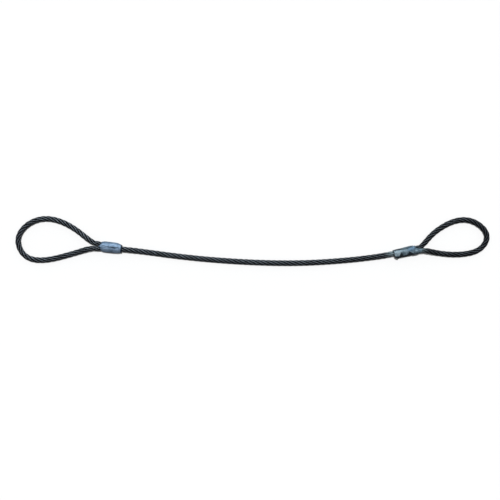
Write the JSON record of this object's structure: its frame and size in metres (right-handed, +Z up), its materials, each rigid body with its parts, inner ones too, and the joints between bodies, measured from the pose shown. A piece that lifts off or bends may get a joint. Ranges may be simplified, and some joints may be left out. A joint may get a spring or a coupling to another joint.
{
  "type": "wire rope sling",
  "caption": "Single-leg wire rope lifting sling with a soft eye turned back and pressed in an aluminium ferrule at each end; the rope bends and the eyes fold.",
  "frame": {"origin": "under the middle of the sling's bounding box, on the ground that it lies on", "axes": "+X along the sling towards the taped end, +Z up from the ground, +Y across the sling"},
  "size_m": [1.0234, 0.1074, 0.0225],
  "materials": {
    "rope_strand": "dark greased steel wire, blue-grey sheen on the crowns of the strands",
    "rope_core": "dark greased steel wire core",
    "pressed_rope": "dark steel rope, pressed flat-sided in the ferrule",
    "ferrule_aluminium": "pressed aluminium, satin, dented and slightly grimy",
    "silver_tape": "crumpled silver tape with a torn edge"
  },
  "bodies": {
    "rope_3": {"rope_3_strand_1": "rope_strand", "rope_3_strand_2": "rope_strand", "rope_3_strand_3": "rope_strand", "rope_3_strand_4": "rope_strand", "rope_3_strand_5": "rope_strand", "rope_3_strand_6": "rope_strand", "rope_3_core": "rope_core"},
    "rope_2": {"rope_2_strand_1": "rope_strand", "rope_2_strand_2": "rope_strand", "rope_2_strand_3": "rope_strand", "rope_2_strand_4": "rope_strand", "rope_2_strand_5": "rope_strand", "rope_2_strand_6": "rope_strand", "rope_2_core": "rope_core"},
    "rope_1": {"rope_1_strand_1": "rope_strand", "rope_1_strand_2": "rope_strand", "rope_1_strand_3": "rope_strand", "rope_1_strand_4": "rope_strand", "rope_1_strand_5": "rope_strand", "rope_1_strand_6": "rope_strand", "rope_1_core": "rope_core"},
    "left_splice": {"left_ferrule": "ferrule_aluminium", "left_standing_part": "pressed_rope", "left_dead_end": "pressed_rope"},
    "left_eye": {"left_eye_strand_1": "rope_strand", "left_eye_strand_2": "rope_strand", "left_eye_strand_3": "rope_strand", "left_eye_strand_4": "rope_strand", "left_eye_strand_5": "rope_strand", "left_eye_strand_6": "rope_strand", "left_eye_core": "rope_core"},
    "rope_4": {"rope_4_strand_1": "rope_strand", "rope_4_strand_2": "rope_strand", "rope_4_strand_3": "rope_strand", "rope_4_strand_4": "rope_strand", "rope_4_strand_5": "rope_strand", "rope_4_strand_6": "rope_strand", "rope_4_core": "rope_core"},
    "rope_5": {"rope_5_strand_1": "rope_strand", "rope_5_strand_2": "rope_strand", "rope_5_strand_3": "rope_strand", "rope_5_strand_4": "rope_strand", "rope_5_strand_5": "rope_strand", "rope_5_strand_6": "rope_strand", "rope_5_core": "rope_core"},
    "right_splice": {"right_ferrule": "ferrule_aluminium", "right_standing_part": "pressed_rope", "right_dead_end": "pressed_rope", "right_tape_wrap": "silver_tape"},
    "right_eye": {"right_eye_strand_1": "rope_strand", "right_eye_strand_2": "rope_strand", "right_eye_strand_3": "rope_strand", "right_eye_strand_4": "rope_strand", "right_eye_strand_5": "rope_strand", "right_eye_strand_6": "rope_strand", "right_eye_core": "rope_core"}
  },
  "joints": [
    {"name": "bend_2_3", "type": "hinge", "parent": "rope_3", "child": "rope_2", "pos_m": [-0.04588, -0.04342, 0.006], "axis": [0, 0, -1], "range_deg": [-40, 40]},
    {"name": "bend_1_2", "type": "hinge", "parent": "rope_2", "child": "rope_1", "pos_m": [-0.16093, -0.03289, 0.006], "axis": [0, 0, -1], "range_deg": [-40, 40]},
    {"name": "lift_left", "type": "hinge", "parent": "rope_1", "child": "left_splice", "pos_m": [-0.27554, -0.01837, 0.01125], "axis": [0.1011, 0.9949, 0], "range_deg": [-30, 30]},
    {"name": "fold_left_eye", "type": "hinge", "parent": "left_splice", "child": "left_eye", "pos_m": [-0.33688, -0.01064, 0.01125], "axis": [0.1011, 0.9949, 0], "range_deg": [-35, 35]},
    {"name": "bend_3_4", "type": "hinge", "parent": "rope_3", "child": "rope_4", "pos_m": [0.06956, -0.04768, 0.006], "axis": [0, 0, 1], "range_deg": [-40, 40]},
    {"name": "bend_4_5", "type": "hinge", "parent": "rope_4", "child": "rope_5", "pos_m": [0.18497, -0.04297, 0.006], "axis": [0, 0, 1], "range_deg": [-40, 40]},
    {"name": "lift_right", "type": "hinge", "parent": "rope_5", "child": "right_splice", "pos_m": [0.29947, -0.02809, 0.0109], "axis": [0.2045, -0.9789, 0], "range_deg": [-30, 30]},
    {"name": "fold_right_eye", "type": "hinge", "parent": "right_splice", "child": "right_eye", "pos_m": [0.36027, -0.01692, 0.0109], "axis": [0.2045, -0.9789, 0], "range_deg": [-25, 25]}
  ]
}
